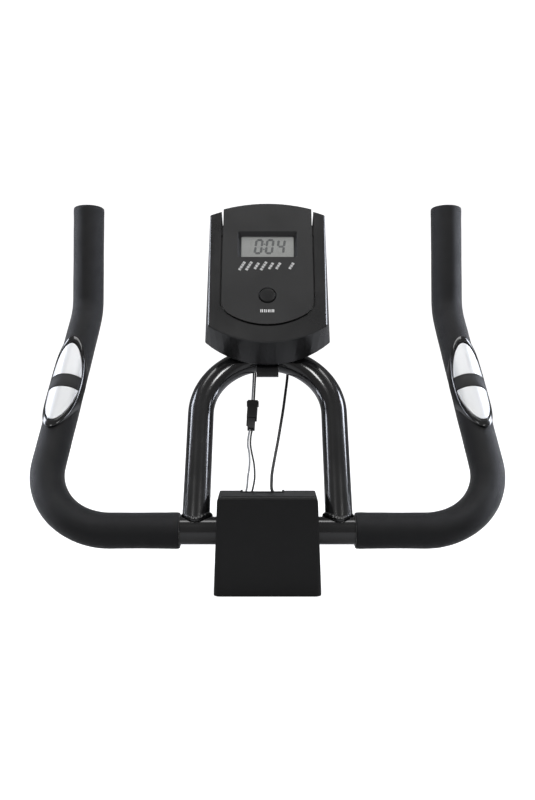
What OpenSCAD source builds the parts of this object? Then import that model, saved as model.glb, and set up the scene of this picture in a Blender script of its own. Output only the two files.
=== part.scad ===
// Handlebar and console head of an exercise bike: a clamp that seats on the bike's post, a bent
// handlebar with foam grips and hand-pulse sensors, and a battery console carried on a steel hoop.
// X runs to the rider's right, Y away from the rider, Z up the post. The origin is the centre of
// the post socket's mouth.

/* [Handlebar] */
// Outside diameter of the handlebar and hoop tube
tube_d = 25.4; // [24:0.1:25.8]
// Wall thickness of the tubes
tube_wall = 1.8; // [1.2:0.1:2.5]
// Height of the handlebar's axis above the post socket's mouth
bar_h = 53; // [52:0.5:56]
// Straight length from the middle of the bar to each outer bend
bar_straight = 143.5; // [140:0.5:150]
// Centreline radius of the outer bends
outer_bend_r = 66; // [60:1:70]
// Straight length of each slanted arm
arm_straight = 181; // [178:0.5:200]
// Centreline radius of the upper bends
upper_bend_r = 50; // [35:1:60]
// Straight length of each upright tip
tip_straight = 99.5; // [90:0.5:120]

/* [Grips] */
// Outside diameter of the foam grips
grip_d = 33; // [30:0.5:34]
// Distance from the middle to the inner end of each grip
grip_start = 79.5; // [79:0.5:95]

/* [Pulse sensors] */
// Length of the oval sensor bezel
sensor_l = 114.4; // [100:0.2:120]
// Height of the bezel's surface over the tube's axis
sensor_r = 19.2; // [18:0.1:20]
// Distance from the outer bend to the middle of the sensor, along the arm
sensor_at = 88.5; // [85:0.5:105]
// Outward turn of the sensors about the arm
sensor_turn = 9; // [0:1:25]

/* [Console hoop] */
// Centreline radius of the hoop's crown, and half the spacing of its legs
hoop_r = 65.7; // [65:0.1:67]
// Straight length of the legs above the bar's axis
hoop_leg = 125.4; // [120:0.1:130]
// Lean of the hoop away from the rider, from vertical
hoop_lean = 37.7; // [35:0.1:40]

/* [Console] */
// Lean of the console's face away from the rider, from vertical
console_lean = 28.5; // [26:0.5:31]
// Width of the face
console_w = 118; // [116:1:120]
// Thickness of the plastic walls
wall = 2.2; // [2:0.1:2.4]
// Diameter of the mode button
button_d = 16.4; // [14:0.1:16.8]
// Travel of the mode button
button_travel = 1.2; // [0.5:0.1:1.2]

/* [Clamp and cover] */
// Diameter of the post that the socket takes, with its clearance
socket_bore = 38.2; // [38.1:0.1:38.4]
// Width of the cover at its lower edge
cover_w = 96; // [95:0.5:98]
// Width of the cover at its upper edge
cover_top_w = 89; // [88:0.5:92]
// Depth of the cover
cover_d = 56; // [56:0.5:58]
// Height of the cover at its front
cover_h = 89.5; // [89:0.5:93]

/* [Leads] */
// Diameter of the hand-pulse lead
pulse_lead_d = 2.8; // [2.4:0.1:3]
// Diameter of each wire of the speed-sensor lead
wire_d = 1.8; // [1.4:0.1:1.8]

/* [Hidden] */
$fn = 64;

tube_r = tube_d / 2;
tube_ri = tube_r - tube_wall;
gap = 0.05;         // clearance between parts that touch on round faces
slip = 0.35;        // clearance between parts that move past each other

// The handlebar's bends. They are multiples of one angle, atan(4/3), whose sine and cosine are
// short exact decimals, so that the tube's sections meet without a gap.
exact = atan2(4, 3);
arm_lean = 360 - 6 * exact;         // of the slanted arms, away from the rider
outer_angle = 360 - 5 * exact;
upper_angle = 4 * exact - 180;
upper_roll = 12 * exact - 540;      // turn of the upper bend's plane from the outer bend's
cap_inset = 3;      // how far the tube ends short of its grip

// Sensor outline.
bezel_l = sensor_l / 2;
bezel_w = 18.6;
inlay_l = 50;
inlay_w = 16.4;
plate_l = 47.7;
plate_w = 15.8;
band_half = 7.6;
plate_r = sensor_r - 0.9;

// Console: local X right, Y up the face, Z towards the rider. Heights on the face are measured
// from its middle, which is console_mid up from the bar, with the face face_out in front of it.
console_mid = 260;
face_out = 20;
corner_low = -59.7;
apex_low = -77.6;
corner_high = 70.4;
apex_high = 82.6;
rim_z = -30;        // where the front and back shells meet
rim_corner_low = -62.8;
rim_apex_low = -87.5;
rim_half_low = 63;
rim_half_high = 60.5;
panel_half = 45.6;
panel_low = -58.2;
panel_proud = 0.8;
panel_top_proud = 1.8;
panel_depth = 25.5; // of its lip down the top end
groove = 1.9;
crown_v = hoop_leg + hoop_r;
lean_off = hoop_lean - console_lean;
crown_y = crown_v * cos(lean_off) - console_mid;
crown_z = -crown_v * sin(lean_off) - face_out;
bracket_t = 2.8;
bracket_back = crown_z + tube_r + 0.3;
back_z = bracket_back + bracket_t;
lens_mid = 31.8;
lens_z = -3.3;      // front of the display's window
recess_mid = 34.2;
board_z = -12;
board_t = 1.6;
button_y = -26;
button_hole_r = 8.9;
button_flange_z = -3.8;     // back of the button's flange, at rest
dome_top = button_flange_z - button_travel - 0.2;
box_mid = 21;       // middle of the battery box on the back
box_half = [26, 13];
box_z = -20;
battery_r = 5.25;
battery_l = 44.5;
battery_z = back_z + 8.3;
battery_dy = 6.3;
door_low = box_mid - 14;
door_t = 2;
hinge_y = door_low;
hinge_z = back_z + 1.6;
lead_y = -46;
sensor_lead_x = -18;
pulse_lead_x = 20;
shell_screws = [[50, 48], [-50, 48], [47, -42], [-47, -42]];
board_posts = [[38, 58], [-38, 58], [38, -36], [-38, -36]];
bracket_holes = [-45, -32];

// Clamp.
socket_r = socket_bore / 2;
socket_ro = 22;
socket_h = 36;
clamp_half = 20;
clamp_y = 25;
bolt_at = [13, 20];
screw_heights = [11, 26];
cover_screw_at = [[38, 12], [-38, 12], [37, 80], [-37, 80]];
cover_wall = 2.5;
cover_slope = 5;    // the cover's top falls towards the back
port = [-25, 15.5];   // sides of the cable port in the rear cover
port_y = 11;
port_z = 73;

// Routes of the free leads, in the part's frame.
upper_route = [
    [-18, 118, 232.5], [-18, 123, 229.8], [-17.5, 128.5, 225], [-16.5, 132.5, 218],
    [-15.5, 134, 210], [-14.5, 133, 202], [-13.8, 129.5, 194.5], [-13.5, 122, 186.5],
    [-14, 109, 174], [-14.6, 96.5, 162],
];
lower_left_route = [
    [-17.4, 70.5, 137], [-18.6, 63, 131], [-19, 55, 124.2], [-17.4, 46, 116.5],
    [-17, 36, 107.5], [-18.4, 25.5, 97.5], [-18.8, 20.5, 91], [-20, 18.2, 85.5],
    [-22, 17.2, 81.2], [-26.2, 16.6, 79.6], [-29.6, 16.2, 79], [-30.5, 16, 75.5],
];
lower_right_route = [
    [-15, 70.5, 137], [-16.2, 63, 131], [-16.4, 55, 124.2], [-14.8, 46, 116.5],
    [-12.6, 36, 107.5], [-12, 25.5, 97.5], [-13.2, 20, 90], [-15, 17.8, 84],
    [-18.5, 16.8, 79.2], [-23, 16.3, 77.6], [-26.5, 16, 74.5],
];
pulse_route = [
    [20, 127, 228], [20, 133, 224.6], [20.2, 137.5, 218.5], [20.5, 138.5, 210],
    [20.8, 136, 201], [20.9, 131, 192.5], [20.3, 122, 183.5], [18, 105, 169],
    [15.6, 88.5, 154.5], [12.8, 72.5, 140.5], [10, 57, 127], [6.9, 42, 113.5],
    [4.4, 30, 101.5], [3.8, 24, 94], [4, 20.3, 87], [7.6, 18.4, 81], [12, 17.4, 78.6], [17.5, 17, 77.6],
    [24, 16, 75.5], [28.8, 14.5, 71], [30, 11.8, 64.8],
];
connector_top = [-14.7, 96.3, 161.7];
connector_low = [-16.2, 70.7, 137.3];

function unit(v) = v / norm(v);
function mix(a, b, t) = a + (b - a) * t;

// Puts children's X and Y along two perpendicular unit vectors, at a point.
module place(at, x, y) {
    z = cross(x, y);
    multmatrix([for (i = [0:2]) [x[i], y[i], z[i], at[i]]]) children();
}

// Puts children's Z along d.
module along(at, d) {
    side = unit(cross(d, abs(d.x) < 0.9 ? [1, 0, 0] : [0, 1, 0]));
    place(at, cross(side, d), side) children();
}

// Everything on one side of the XY plane.
module half_space(side) {
    half = 200;
    translate([-half, -half, side > 0 ? 0 : -half]) cube([2 * half, 2 * half, half]);
}

// One bend of a rod along Z, towards X, of under 180 degrees.
module bend(angle, bend_r, r) {
    intersection() {
        translate([bend_r, 0, 0]) rotate([90, 0, 0]) rotate_extrude() translate([bend_r, 0]) circle(r = r);
        half_space(1);
        past_bend(angle, bend_r) half_space(-1);
    }
}

// A turn about Z, half at a time, since the halves are the exact ones.
module roll(angle) {
    rotate([0, 0, angle / 2]) rotate([0, 0, angle / 2]) children();
}

module past_bend(angle, bend_r) {
    translate([bend_r, 0, 0]) rotate([0, angle, 0]) translate([-bend_r, 0, 0]) children();
}

// A rod along Z with bends. Each step is [straight length, roll, bend angle, bend radius], and the
// last step is only a length.
module bent_rod(steps, r, i = 0) {
    cylinder(r = r, h = steps[i][0]);
    if (i < len(steps) - 1) translate([0, 0, steps[i][0]]) roll(steps[i][1]) {
        bend(steps[i][2], steps[i][3], r);
        past_bend(steps[i][2], steps[i][3]) bent_rod(steps, r, i + 1);
    }
}

module ring(ro, ri, h) {
    difference() {
        cylinder(r = ro, h = h);
        translate([0, 0, -1]) cylinder(r = ri, h = h + 2);
    }
}

// A cylinder along X, from x to x + l.
module x_rod(r, x, l) {
    translate([x, 0, 0]) rotate([0, 90, 0]) cylinder(r = r, h = l);
}

module mirrored(side) {
    mirror([side < 0 ? 1 : 0, 0, 0]) children();
}

module bar_frame() {
    translate([0, 0, bar_h]) children();
}

// ---- Handlebar ----

grommet_dir = [0, sin(45), cos(45)];
grommet_x = 30;

// The right half's bending steps, from start along the bar to its end.
function bar_steps(start, end) = [
    [bar_straight - start, 180 - arm_lean, outer_angle, outer_bend_r],
    [arm_straight, upper_roll, upper_angle, upper_bend_r],
    [tip_straight + end],
];

// Local Z along the bar to the right, from the given distance from its middle.
module bar_start(start) {
    bar_frame() rotate([0, 90, 0]) translate([0, 0, start]) children();
}

// Local Z along the slanted arm from its outer bend, local Y towards the rider.
module arm_frame() {
    bar_start(bar_straight) roll(180 - arm_lean) past_bend(outer_angle, outer_bend_r) children();
}

module tip_frame() {
    arm_frame() translate([0, 0, arm_straight]) roll(upper_roll)
        past_bend(upper_angle, upper_bend_r) children();
}

// Local Z along the arm, local X out of the sensor's face, at the middle of the sensor.
module sensor_frame() {
    arm_frame() translate([0, 0, sensor_at]) rotate([0, 0, 90 + sensor_turn]) children();
}

module handlebar_tube() {
    color("#1c1c1e") difference() {
        for (side = [-1, 1]) mirrored(side) bar_start(0) bent_rod(bar_steps(0, -cap_inset), tube_r);
        for (side = [-1, 1]) mirrored(side) {
            bar_start(0) bent_rod(bar_steps(0, 1), tube_ri);
            sensor_frame() rotate([0, 90, 0]) cylinder(r = 4, h = 20);
        }
        bar_frame() along([grommet_x, 0, 0], grommet_dir) cylinder(r = 4, h = 20);
    }
}

module grip() {
    color("#2b2c30") difference() {
        bar_start(grip_start) bent_rod(bar_steps(grip_start, 0), grip_d / 2);
        bar_start(grip_start - 1) bent_rod(bar_steps(grip_start - 1, 1), tube_r + gap);
        sensor_frame() oval_prism(bezel_l + 0.3, bezel_w + 0.3, 0, 30);
    }
}
module grip_left() { mirrored(-1) grip(); }
module grip_right() { grip(); }

module end_cap() {
    color("#18181a") tip_frame() translate([0, 0, tip_straight - cap_inset]) {
        cylinder(r = tube_r - 0.1, h = cap_inset + 0.2);
        translate([0, 0, -12]) cylinder(r = tube_ri - 0.1, h = 12.1);
    }
}
module end_cap_left() { mirrored(-1) end_cap(); }
module end_cap_right() { end_cap(); }

// ---- Pulse sensors ----

// An oval of half-length a along Z and half-width b along Y, extruded along X from x0 to x1.
module oval_prism(a, b, x0, x1) {
    steps = 72;
    translate([x0, 0, 0]) rotate([0, 90, 0]) linear_extrude(x1 - x0)
        polygon([for (i = [0:steps - 1]) [a * cos(i * 360 / steps), b * sin(i * 360 / steps)]]);
}

// The part of an oval prism that lies in a shell about the arm's axis.
module oval_shell(a, b, ri, ro) {
    intersection() {
        oval_prism(a, b, 0.5, 30);
        translate([0, 0, -a - 1]) ring(ro, ri, 2 * a + 2);
    }
}

module sensor_housing() {
    inner_r = tube_r + 0.2;
    color("#151517") sensor_frame() difference() {
        oval_shell(bezel_l, bezel_w, inner_r, sensor_r);
        difference() {
            oval_shell(inlay_l, inlay_w, plate_r - 1.2, sensor_r + 5);
            translate([0, 0, -band_half]) cylinder(r = sensor_r - 0.4, h = 2 * band_half);
        }
        rotate([0, 90, 0]) cylinder(r = 1.4, h = 15.5);
    }
}
module sensor_housing_left() { mirrored(-1) sensor_housing(); }
module sensor_housing_right() { sensor_housing(); }

module sensor_plate(end) {
    color("#d9dadc") sensor_frame() intersection() {
        oval_shell(plate_l, plate_w, plate_r - 1.15, plate_r);
        translate([0, 0, end * (band_half + 0.3)]) half_space(end);
    }
}
module sensor_plate_upper_left() { mirrored(-1) sensor_plate(1); }
module sensor_plate_lower_left() { mirrored(-1) sensor_plate(-1); }
module sensor_plate_upper_right() { sensor_plate(1); }
module sensor_plate_lower_right() { sensor_plate(-1); }

// From the sensor, along the inside of the tube, to the grommet in the middle.
module pulse_wire(exit_x) {
    color("#3a3a3c") {
        bar_start(exit_x) bent_rod([
            [bar_straight - exit_x, 180 - arm_lean, outer_angle, outer_bend_r], [sensor_at],
        ], 1.2);
        sensor_frame() rotate([0, 90, 0]) cylinder(r = 1.2, h = 15.3);
        bar_frame() along([exit_x, 0, 0], grommet_dir) cylinder(r = 1.2, h = 9.5);
    }
}
module pulse_wire_left() { mirrored(-1) pulse_wire(-28.5); }
module pulse_wire_right() { pulse_wire(31.5); }

module bar_grommet() {
    color("#101012") bar_frame() along([grommet_x, 0, 0], grommet_dir)
        translate([0, 0, tube_ri - 1]) difference() {
            union() {
                cylinder(r = 3.9, h = 5);
                translate([0, 0, 3.4]) cylinder(r = 5.4, h = 1.8);
            }
            translate([0, 0, -1]) cylinder(r = pulse_lead_d / 2 + 0.1, h = 9);
        }
}

// ---- Console hoop ----

// Local Y runs up the hoop's legs from the bar, local X to the right.
module hoop_frame() {
    bar_frame() rotate([90 - hoop_lean, 0, 0]) children();
}

module hoop_solid(r, start) {
    for (side = [-1, 1])
        translate([side * hoop_r, start, 0]) rotate([-90, 0, 0]) cylinder(r = r, h = hoop_leg - start);
    translate([0, hoop_leg, 0]) rotate_extrude(angle = 180) translate([hoop_r, 0]) circle(r = r);
}

module console_hoop() {
    color("#1a1a1c") hoop_frame() difference() {
        hoop_solid(tube_r, 2);
        hoop_solid(tube_ri, 1);
        x_rod(tube_r + gap / 2, -100, 200);
    }
}

module hoop_welds() {
    bead = 2.3;
    color("#202022") hoop_frame() for (side = [-1, 1]) difference() {
        intersection() {
            translate([side * hoop_r, 2, 0]) rotate([-90, 0, 0]) cylinder(r = tube_r + bead, h = 20);
            x_rod(tube_r + bead, -100, 200);
        }
        translate([side * hoop_r, 0, 0]) rotate([-90, 0, 0]) cylinder(r = tube_r + gap / 2, h = 40);
        x_rod(tube_r + gap / 2, -110, 220);
        for (end = [-1, 1])
            translate([end * (grip_start - 0.3), 0, 0]) rotate([0, end * 90, 0]) half_space(1);
    }
}

// ---- Console ----

module console_frame() {
    bar_frame() rotate([90 - console_lean, 0, 0]) translate([0, console_mid, face_out]) children();
}

// Points along the arc from [-half, side] over [0, apex] to [half, side].
function arc_points(half, side, apex, steps = 16) =
    let (
        sag = apex - side,
        r = (half * half + sag * sag) / (2 * abs(sag)),
        up = sag > 0 ? 1 : -1,
        a = asin(half / r)
    ) [for (i = [0:steps]) let (t = mix(-a, a, i / steps)) [r * sin(t), apex + up * r * (cos(t) - 1)]];

function reversed(p) = [for (i = [len(p) - 1:-1:0]) p[i]];

// The console's outline at a depth z behind the face, moved in by inset.
module console_outline(z, inset) {
    t = min(1, z / rim_z);
    low = mix(corner_low, rim_corner_low, t);
    apex = mix(apex_low, rim_apex_low, t);
    offset(r = 2.5) offset(delta = -2.5 - inset) polygon(concat(
        reversed(arc_points(mix(console_w / 2 - 0.5, rim_half_low, t), low, apex)),
        arc_points(mix(console_w / 2 + 0.5, rim_half_high, t), corner_high, apex_high)));
}

module console_slice(z, inset) {
    translate([0, 0, z]) linear_extrude(0.01) console_outline(z, inset);
}

// Hull of slices, each [depth, inset].
module console_loft(slices) {
    hull() for (s = slices) console_slice(s[0], s[1], $fn = 24);
}

// The U-shaped centre panel, grown by g.
module panel_shape(g) {
    low_arc = arc_points(40, -45.3, panel_low, 12);
    offset(r = 12 + g, $fn = 40) offset(delta = -12) polygon(concat(
        [[-panel_half, 130], [-panel_half, -37]], low_arc, [[panel_half, -37], [panel_half, 130]]));
}

module front_cavity() {
    console_loft([[-wall, wall + 0.6], [rim_z - 0.1, wall]]);
}

module console_front() {
    color("#333335") console_frame() {
        difference() {
            console_loft([[-0.01, 1], [-1, 0.1], [rim_z, 0]]);
            front_cavity();
            translate([0, 0, -wall - 1]) linear_extrude(wall + 3) panel_shape(groove);
            translate([0, 0, -26]) linear_extrude(30) intersection() {
                panel_shape(groove);
                translate([-80, 62]) square([160, 60]);
            }
        }
        for (p = shell_screws)
            translate([p.x, p.y, rim_z + 0.8]) ring(4, 1.45, -wall - rim_z - 0.3);
    }
}

// A thin rounded rectangle, size before rounding, at a height on the face and a depth.
module recess_slice(y, z, size, r) {
    translate([0, y, z]) linear_extrude(0.01) offset(r = r, $fn = 24) square(size, center = true);
}

module lcd_recess(grow, z0, z1) {
    hull() {
        recess_slice(recess_mid, z0, [57, 26.8], 2 + grow);
        recess_slice(lens_mid, z1, [51.7, 26], 1 + grow);
    }
}

module console_panel() {
    color("#363638") console_frame() difference() {
        union() {
            intersection() {
                difference() {
                    console_loft([
                        [panel_proud - 0.01, 0.2],
                        [panel_proud - 1, -panel_top_proud],
                        [-panel_depth, -panel_top_proud],
                    ]);
                    console_loft([[-wall, wall + 0.6], [-panel_depth - 0.1, wall]]);
                }
                translate([0, 0, -panel_depth]) linear_extrude(30) panel_shape(0);
            }
            translate([0, 0, -wall - 1.6]) linear_extrude(1.4) intersection() {
                panel_shape(3.5);
                translate([-70, -70]) square([140, 128]);
            }
            translate([0, 0, -wall - 0.3]) linear_extrude(0.4) intersection() {
                panel_shape(-0.3);
                translate([-70, -70]) square([140, 128]);
            }
            lcd_recess(1.6, -1, lens_z + 0.05);
            for (p = board_posts) translate([p.x, p.y, board_z]) cylinder(r = 3, h = 9);
        }
        lcd_recess(0, panel_proud + 0.1, lens_z);
        translate([0, button_y, -10]) cylinder(r = button_hole_r, h = 20);
        translate([0, button_y, -10]) cylinder(r = 11, h = 10 - wall);
        for (p = board_posts) translate([p.x, p.y, board_z - 1]) cylinder(r = 1.05, h = 7);
        for (p = shell_screws) translate([p.x, p.y, rim_z]) cylinder(r = 4.3, h = -wall - rim_z);
        translate([-29, lens_mid - 15.5, -12]) cube([58, 31, 12 + lens_z]);
    }
}

// Where the door lies, grown by g.
module door_shape(g) {
    translate([-28 - g, door_low - 1.6 - g]) square([56 + 2 * g, 29.6 + 2 * g]);
}

module console_back() {
    color("#2c2c2e") console_frame() difference() {
        union() {
            difference() {
                console_loft([[rim_z - 0.01, 0], [rim_z - 1.6, 0.5], [back_z, 4]]);
                console_loft([[rim_z + 0.1, wall], [back_z + wall, wall + 4]]);
            }
            translate([-box_half.x - 1.5, box_mid - box_half.y - 1.5, back_z])
                cube([2 * box_half.x + 3, 2 * box_half.y + 3, box_z + 1.5 - back_z]);
            for (side = [-1, 1])
                translate([side > 0 ? 28.3 : -32.3, hinge_y - 3, back_z]) cube([4, 6, 5]);
            for (p = shell_screws)
                translate([p.x, p.y, back_z + 0.5]) cylinder(r = 4.6, h = rim_z + 0.3 - back_z);
            for (y = bracket_holes) translate([0, y, back_z + 0.5]) cylinder(r = 5, h = 12);
        }
        translate([-box_half.x, box_mid - box_half.y, back_z - 1])
            cube([2 * box_half.x, 2 * box_half.y, box_z - back_z + 1]);
        translate([0, 0, back_z - 1]) linear_extrude(door_t + 1.3) door_shape(slip);
        translate([0, hinge_y, hinge_z]) {
            x_rod(1.05, -31, 62);
            x_rod(1.6 + slip, -28.2, 56.4);
        }
        for (p = shell_screws) {
            translate([p.x, p.y, back_z - 1]) cylinder(r = 1.7, h = 12);
            translate([p.x, p.y, back_z - 1]) cylinder(r = 3.4, h = 3);
        }
        for (y = bracket_holes) translate([0, y, back_z - 1]) cylinder(r = 2.45, h = 12.5);
        translate([sensor_lead_x, lead_y, back_z - 1]) cylinder(r = 3.1, h = 6);
        translate([pulse_lead_x, lead_y, back_z - 1]) cylinder(r = 3.1, h = 6);
    }
}

module console_screws() {
    color("#77787c") console_frame() for (p = shell_screws) translate([p.x, p.y, back_z + 0.3]) {
        difference() {
            cylinder(r = 2.9, h = 1.6);
            for (a = [0, 90]) rotate([0, 0, a]) translate([-1.6, -0.35, -1]) cube([3.2, 0.7, 1.8]);
        }
        cylinder(r = 1.4, h = 14);
    }
}

module lcd_lens() {
    color("#c8ccd0") console_frame()
        translate([-28.5, lens_mid - 15, lens_z - 1]) cube([57, 30, 1]);
}

module lcd_glass() {
    color("#9b9b95") console_frame()
        translate([-28.5, lens_mid - 15, lens_z - 3.35]) cube([57, 30, 2.3]);
}

module lcd_contact_strips() {
    color("#c9c2b8") console_frame() for (side = [-1, 1])
        translate([-26, lens_mid + side * 12.5 - 1, board_z]) cube([52, 2, lens_z - 3.35 - board_z]);
}

module circuit_board() {
    color("#1f5b35") console_frame() difference() {
        translate([-43, -41, board_z - board_t]) cube([86, 104, board_t]);
        for (p = board_posts) translate([p.x, p.y, board_z - 4]) cylinder(r = 1.4, h = 8);
    }
}

module board_screws() {
    color("#8a8b8f") console_frame()
        for (p = board_posts) translate([p.x, p.y, board_z - board_t - 1.5]) {
        cylinder(r = 2.6, h = 1.5);
        cylinder(r = 1, h = 7.5);
    }
}

module button_dome() {
    color("#d8d6d0") console_frame() translate([0, button_y, board_z]) {
        cylinder(r = 7, h = 1);
        translate([0, 0, 1]) cylinder(r = 4, h = dome_top - board_z - 1);
    }
}

module buzzer() {
    color("#141416") console_frame() translate([28, -20, board_z - board_t - 4]) ring(7, 1, 4);
}

module mode_button() {
    cap_r = button_d / 2;
    color("#28282a") console_frame() translate([0, button_y, 0]) {
        intersection() {
            translate([0, 0, -3.7]) cylinder(r = cap_r, h = 8);
            translate([0, 0, 2.4 - 26]) sphere(r = 26);
        }
        translate([0, 0, button_flange_z]) cylinder(r = 10.4, h = 1.2);
    }
}

module battery_door() {
    color("#2e2e30") console_frame() {
        difference() {
            translate([0, 0, back_z]) linear_extrude(door_t) translate([-28, door_low]) square([56, 28]);
            translate([0, door_low + 22, back_z - 6.4]) sphere(r = 7.2);
        }
        translate([0, hinge_y, hinge_z]) {
            x_rod(1.6, -27.8, 55.6);
            x_rod(1, -30, 60);
        }
    }
}

module batteries() {
    color("#b9a13a") console_frame() for (side = [-1, 1])
        translate([0, box_mid + side * battery_dy, battery_z]) {
            x_rod(battery_r, -battery_l / 2, battery_l - 1);
            x_rod(1.9, side > 0 ? battery_l / 2 - 1.1 : -battery_l / 2 - 0.9, 1);
        }
}

// A helical wire about X, one turn every pitch, its radius growing from r0 to r1.
module coil(r0, r1, pitch, turns, wire_r) {
    steps = 14 * turns;
    path = [for (i = [0:steps]) let (t = i / steps, a = 360 * turns * t, r = mix(r0, r1, t))
        [pitch * turns * t, r * cos(a), r * sin(a)]];
    sweep(path, wire_r, 6, [1, 0.1, 0.1]);
}

module battery_springs() {
    color("#c9cacc") console_frame() for (side = [-1, 1])
        translate([side > 0 ? -25 : 25, box_mid + side * battery_dy, battery_z])
            mirror([side > 0 ? 0 : 1, 0, 0]) coil(3.6, 2, 0.7, 3, 0.3);
}

module battery_contacts() {
    color("#bfc0c2") console_frame() for (side = [-1, 1])
        translate([0, box_mid + side * battery_dy, battery_z]) mirror([side > 0 ? 0 : 1, 0, 0]) {
            translate([-25.9, -4.5, -4.5]) cube([0.4, 9, 9]);
            translate([24.3, -4, -4]) cube([0.4, 8, 8]);
        }
}

module console_bracket() {
    color("#1b1b1d") console_frame() difference() {
        translate([-11, -98, bracket_back]) cube([22, 75, bracket_t - 0.02]);
        for (y = bracket_holes)
            translate([0, y, bracket_back - 1]) cylinder(r = 2.7, h = bracket_t + 2);
    }
}

module bracket_welds() {
    color("#202022") console_frame() for (side = [-1, 1]) difference() {
        translate([0, crown_y + side * 7.5, bracket_back - 1.2]) x_rod(2.4, -9, 18);
        translate([-20, crown_y - 30, bracket_back - 0.01]) cube([40, 60, 10]);
        translate([0, 0, -face_out]) translate([0, -console_mid, 0]) rotate([-lean_off, 0, 0])
            hoop_solid(tube_r + 0.02, 60);
    }
}

module bracket_screws() {
    color("#77787c") console_frame() for (y = bracket_holes) translate([0, y, bracket_back]) {
        translate([0, 0, -3]) difference() {
            cylinder(r = 4.4, h = 2.95);
            translate([0, 0, -1]) cylinder(r = 1.8, h = 3, $fn = 6);
        }
        translate([0, 0, -0.1]) cylinder(r = 2.4, h = 12);
    }
}

// ---- Leads ----

// The route with points added between its own, on a Catmull-Rom curve.
function curve(p, per) = [for (i = [0:len(p) - 2]) for (j = [0:per - 1])
    let (a = p[max(i - 1, 0)], b = p[i], c = p[i + 1], d = p[min(i + 2, len(p) - 1)], t = j / per)
        b + 0.5 * t * (c - a + t * (2 * a - 5 * b + 4 * c - d + t * (3 * b - a - 3 * c + d))),
    p[len(p) - 1]];

// A tube of n sides along a path. The path never runs along side.
module sweep(path, r, n, side = [1, 0.6, -0.6]) {
    last = len(path) - 1;
    points = [for (i = [0:last])
        let (
            t = unit(path[min(i + 1, last)] - path[max(i - 1, 0)]),
            u = unit(cross(side, t)),
            v = cross(t, u)
        ) for (k = [0:n - 1]) path[i] + r * (cos(k * 360 / n) * u + sin(k * 360 / n) * v)];
    polyhedron(points, concat(
        [[for (k = [n - 1:-1:0]) k], [for (k = [0:n - 1]) last * n + k]],
        [for (i = [0:last - 1]) for (k = [0:n - 1]) let (m = (k + 1) % n) for (f = [0, 1])
            f == 0 ? [i * n + k, i * n + m, (i + 1) * n + m]
                   : [i * n + k, (i + 1) * n + m, (i + 1) * n + k]]));
}

module lead_grommet() {
    color("#101012") console_frame() translate([sensor_lead_x, lead_y, back_z]) difference() {
        union() {
            translate([0, 0, -1]) cylinder(r = 3, h = wall + 2);
            translate([0, 0, -3]) cylinder(r = 4.2, h = 3);
        }
        for (side = [-1, 1]) translate([side, 0, -5]) cylinder(r = wire_d / 2 + 0.05, h = 12);
    }
}

module sensor_lead_upper() {
    color("#4a4b50") for (side = [-1, 1])
        translate([side, 0, 0]) sweep(curve(upper_route, 3), wire_d / 2, 8);
}

module sensor_lead_lower() {
    color("#4a4b50") {
        sweep(curve(lower_left_route, 2), wire_d / 2, 8);
        sweep(curve(lower_right_route, 2), wire_d / 2, 8);
    }
}

// Local Z runs from the lower end of the inline connector to its upper end.
module connector_frame() {
    along(connector_low, unit(connector_top - connector_low)) children();
}
connector_l = norm(connector_top - connector_low);

module connector_socket() {
    color("#121214") connector_frame() difference() {
        union() {
            translate([-5, -3.6, 13]) cube([10, 7.2, connector_l - 13]);
            for (side = [-1, 1])
                translate([side > 0 ? 4 : -6, -3.6, connector_l - 3.4]) cube([2, 7.2, 2]);
        }
        translate([-4, -2.7, 12]) cube([8, 5.4, 10]);
        for (side = [-1, 1]) translate([side, 0, 20]) cylinder(r = wire_d / 2 + 0.05, h = 40);
    }
}

module connector_plug() {
    color("#161618") connector_frame() difference() {
        union() {
            translate([-3.6, -2.5, 0]) cube([7.2, 5, 21]);
            translate([-4.9, -1.6, 5]) cube([1.4, 3.2, 8]);
        }
        for (side = [-1, 1]) translate([side * 1.2, 0, -1]) cylinder(r = wire_d / 2 + 0.1, h = 8);
    }
}

module post_connector() {
    color("#ececea") translate([-33, 12.6, 60]) difference() {
        cube([9, 6.8, 16]);
        translate([1.5, 1.5, -1]) cube([6, 3.8, 10]);
    }
}

module pulse_jack() {
    color("#121214") console_frame() translate([pulse_lead_x, lead_y, back_z + 0.3]) difference() {
        union() {
            cylinder(r = 3, h = 4);
            translate([-5, -5, wall]) cube([10, 10, 13]);
        }
        translate([0, 0, -1]) cylinder(r = 1.8, h = 14);
    }
}

module pulse_plug() {
    color("#141416") console_frame() translate([pulse_lead_x, lead_y, back_z]) {
        translate([0, 0, -13]) difference() {
            cylinder(r = 3.2, h = 12.8);
            translate([0, 0, -1]) cylinder(r = pulse_lead_d / 2 + 0.05, h = 3);
        }
        translate([0, 0, -0.3]) cylinder(r = 1.7, h = 11);
    }
}

module pulse_lead() {
    color("#151517") sweep(curve(pulse_route, 3), pulse_lead_d / 2, 8);
}

// ---- Clamp, seated on the post ----

module post_socket() {
    color("#232325") difference() {
        cylinder(r = socket_ro, h = socket_h);
        translate([0, 0, -1]) cylinder(r = socket_r, h = socket_h + 2);
        for (z = screw_heights) translate([0, 10, z]) rotate([-90, 0, 0]) cylinder(r = 4.2, h = 20);
    }
}

module clamp_saddle() {
    color("#232325") difference() {
        translate([-clamp_half, -clamp_y, socket_h])
            cube([2 * clamp_half, 2 * clamp_y, bar_h - 0.8 - socket_h]);
        bar_frame() x_rod(tube_r + gap, -40, 80);
        for (x = [-1, 1]) for (y = [-1, 1])
            translate([x * bolt_at.x, y * bolt_at.y, 39]) cylinder(r = 3.05, h = 20);
    }
}

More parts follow.
